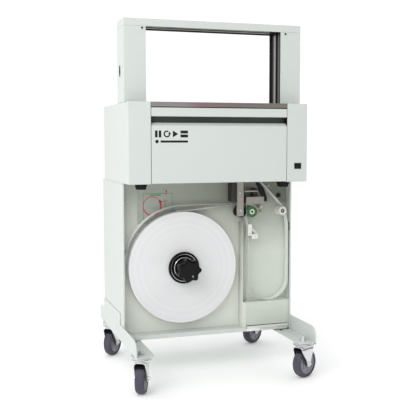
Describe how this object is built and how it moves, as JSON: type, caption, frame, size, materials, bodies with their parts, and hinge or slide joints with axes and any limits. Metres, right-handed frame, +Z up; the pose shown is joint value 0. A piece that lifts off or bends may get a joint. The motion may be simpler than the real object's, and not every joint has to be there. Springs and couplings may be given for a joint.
{
  "type": "arch banding machine",
  "caption": "Floor-standing banding machine: a wheeled cabinet with a band reel and a band pool below a table, and a track arch over it that loops the band round a package.",
  "frame": {"origin": "centre of the footprint, casters included, at floor level", "axes": "+Z up, +X to the operator's right, -Y towards the operator who stands at the front panel"},
  "size_m": [0.6687, 0.608, 1.216],
  "materials": {
    "paint": "powder coat, pale green-grey, fine orange peel",
    "steel": "brushed stainless steel",
    "zinc": "bright zinc plate",
    "chrome": "bright chrome",
    "black_plastic": "glossy black moulding",
    "track": "matt black band track",
    "white_plastic": "turned white plastic",
    "rubber": "black rubber",
    "wheel": "grey rubber on a grey core",
    "green_rubber": "green elastomer roller",
    "band": "thin white film band",
    "band_roll": "wound white film band",
    "acrylic": "clear acrylic sheet",
    "machine_grey": "dark machine enamel",
    "control_box": "closed grey control box"
  },
  "bodies": {
    "frame": {"arch_beam": "paint", "band_chute": "black_plastic", "band_deck": "steel", "band_pool": "band", "band_run": "band", "cabinet_floor": "paint", "cabinet_rear_cover": "paint", "cabinet_wall_left": "paint", "cabinet_wall_right": "paint", "column_left": "paint", "column_right": "paint", "door_catch_left": "rubber", "door_catch_right": "rubber", "electrical_box": "control_box", "feed_motor": "machine_grey", "feed_plate": "steel", "foot_left": "paint", "foot_right": "paint", "guide_block": "machine_grey", "head_rear_cover": "paint", "head_tray": "paint", "hinge_rail": "chrome", "mounting_plate": "paint", "pool_box": "paint", "power_inlet": "black_plastic", "seal_frame": "machine_grey", "seal_motor": "machine_grey", "side_cover_left": "paint", "side_cover_right": "paint", "spindle_bearing": "zinc", "table_front": "steel", "table_rear": "steel", "track_left": "track", "track_right": "track", "track_top": "track", "upper_fascia": "paint"},
    "caster_front_left": {"fork_front_left": "zinc"},
    "wheel_front_left": {"wheel_front_left": "wheel"},
    "pedal_front_left": {"pedal_front_left": "black_plastic"},
    "caster_front_right": {"fork_front_right": "zinc"},
    "wheel_front_right": {"wheel_front_right": "wheel"},
    "pedal_front_right": {"pedal_front_right": "black_plastic"},
    "caster_rear_left": {"fork_rear_left": "zinc"},
    "wheel_rear_left": {"wheel_rear_left": "wheel"},
    "caster_rear_right": {"fork_rear_right": "zinc"},
    "wheel_rear_right": {"wheel_rear_right": "wheel"},
    "front_panel": {"front_panel": "paint"},
    "rocker_switch": {"rocker_switch": "black_plastic"},
    "pool_cover": {"pool_cover": "acrylic"},
    "reel": {"reel_hub": "black_plastic", "band_reel": "band_roll", "clamp_cup": "black_plastic"},
    "star_knob": {"star_knob": "black_plastic"},
    "drive_wheel": {"drive_wheel": "rubber"},
    "pinch_arm": {"pinch_arm": "steel"},
    "pinch_roller": {"pinch_roller": "green_rubber"},
    "guide_roller": {"guide_roller": "white_plastic"},
    "pool_lever": {"pool_lever": "white_plastic"},
    "cam_shaft": {"cam_shaft": "zinc"},
    "anvil_slide": {"anvil_slide": "zinc"}
  },
  "joints": [
    {"name": "swivel_front_left", "type": "hinge", "parent": "frame", "child": "caster_front_left", "pos_m": [-0.2979, -0.256, 0.12], "axis": [0, 0, 1], "continuous": true},
    {"name": "roll_front_left", "type": "hinge", "parent": "caster_front_left", "child": "wheel_front_left", "pos_m": [-0.29546, -0.25052, 0.05], "axis": [0.9135, -0.4067, 0], "continuous": true},
    {"name": "brake_front_left", "type": "hinge", "parent": "caster_front_left", "child": "pedal_front_left", "pos_m": [-0.28285, -0.2222, 0.108], "axis": [0.9135, -0.4067, 0], "range_deg": [-12, 0]},
    {"name": "swivel_front_right", "type": "hinge", "parent": "frame", "child": "caster_front_right", "pos_m": [0.2781, -0.256, 0.12], "axis": [0, 0, 1], "continuous": true},
    {"name": "roll_front_right", "type": "hinge", "parent": "caster_front_right", "child": "wheel_front_right", "pos_m": [0.28345, -0.25328, 0.05], "axis": [0.454, -0.891, 0], "continuous": true},
    {"name": "brake_front_right", "type": "hinge", "parent": "caster_front_right", "child": "pedal_front_right", "pos_m": [0.31107, -0.2392, 0.108], "axis": [0.454, -0.891, 0], "range_deg": [-12, 0]},
    {"name": "swivel_rear_left", "type": "hinge", "parent": "frame", "child": "caster_rear_left", "pos_m": [-0.2979, 0.222, 0.12], "axis": [0, 0, 1], "continuous": true},
    {"name": "roll_rear_left", "type": "hinge", "parent": "caster_rear_left", "child": "wheel_rear_left", "pos_m": [-0.29421, 0.22673, 0.05], "axis": [0.788, -0.6157, 0], "continuous": true},
    {"name": "swivel_rear_right", "type": "hinge", "parent": "frame", "child": "caster_rear_right", "pos_m": [0.2781, 0.222, 0.12], "axis": [0, 0, 1], "continuous": true},
    {"name": "roll_rear_right", "type": "hinge", "parent": "caster_rear_right", "child": "wheel_rear_right", "pos_m": [0.28313, 0.22527, 0.05], "axis": [0.5446, -0.8387, 0], "continuous": true},
    {"name": "front_panel_hinge", "type": "hinge", "parent": "frame", "child": "front_panel", "pos_m": [-0.0099, -0.204, 0.683], "axis": [1, 0, 0], "range_deg": [0, 95]},
    {"name": "rocker_tilt", "type": "hinge", "parent": "frame", "child": "rocker_switch", "pos_m": [0.2704, -0.208, 0.7313], "axis": [0, 0, 1], "range_deg": [-16, 0]},
    {"name": "pool_cover_hinge", "type": "hinge", "parent": "frame", "child": "pool_cover", "pos_m": [0.2071, -0.1045, 0.1505], "axis": [1, 0, 0], "range_deg": [0, 90]},
    {"name": "reel_spin", "type": "hinge", "parent": "frame", "child": "reel", "pos_m": [-0.1039, -0.024, 0.378], "axis": [0, 1, 0], "continuous": true},
    {"name": "knob_turn", "type": "hinge", "parent": "reel", "child": "star_knob", "pos_m": [-0.1039, -0.154, 0.378], "axis": [0, 1, 0], "continuous": true},
    {"name": "drive_spin", "type": "hinge", "parent": "frame", "child": "drive_wheel", "pos_m": [0.1106, -0.074, 0.566], "axis": [0, 1, 0], "continuous": true},
    {"name": "pinch_arm_swing", "type": "hinge", "parent": "frame", "child": "pinch_arm", "pos_m": [0.1856, -0.074, 0.606], "axis": [0, -1, 0], "range_deg": [0, 10], "stiffness_Nm_per_rad": 3, "springref_deg": -17.19},
    {"name": "pinch_spin", "type": "hinge", "parent": "pinch_arm", "child": "pinch_roller", "pos_m": [0.1506, -0.074, 0.566], "axis": [0, 1, 0], "continuous": true},
    {"name": "guide_spin", "type": "hinge", "parent": "frame", "child": "guide_roller", "pos_m": [0.2696, -0.074, 0.566], "axis": [0, 1, 0], "continuous": true},
    {"name": "pool_lever_swing", "type": "hinge", "parent": "frame", "child": "pool_lever", "pos_m": [0.1556, -0.074, 0.501], "axis": [0, 1, 0], "range_deg": [-12, 12], "stiffness_Nm_per_rad": 0.1},
    {"name": "cam_spin", "type": "hinge", "parent": "frame", "child": "cam_shaft", "pos_m": [-0.0099, -0.104, 0.845], "axis": [1, 0, 0], "continuous": true},
    {"name": "anvil_draw", "type": "slide", "parent": "frame", "child": "anvil_slide", "axis": [0, 1, 0], "range_m": [0, 0.024], "stiffness_N_per_m": 100}
  ],
  "couplings": [
    {"joint": "pinch_spin", "follows": "drive_spin", "ratio": -0.9898}
  ]
}
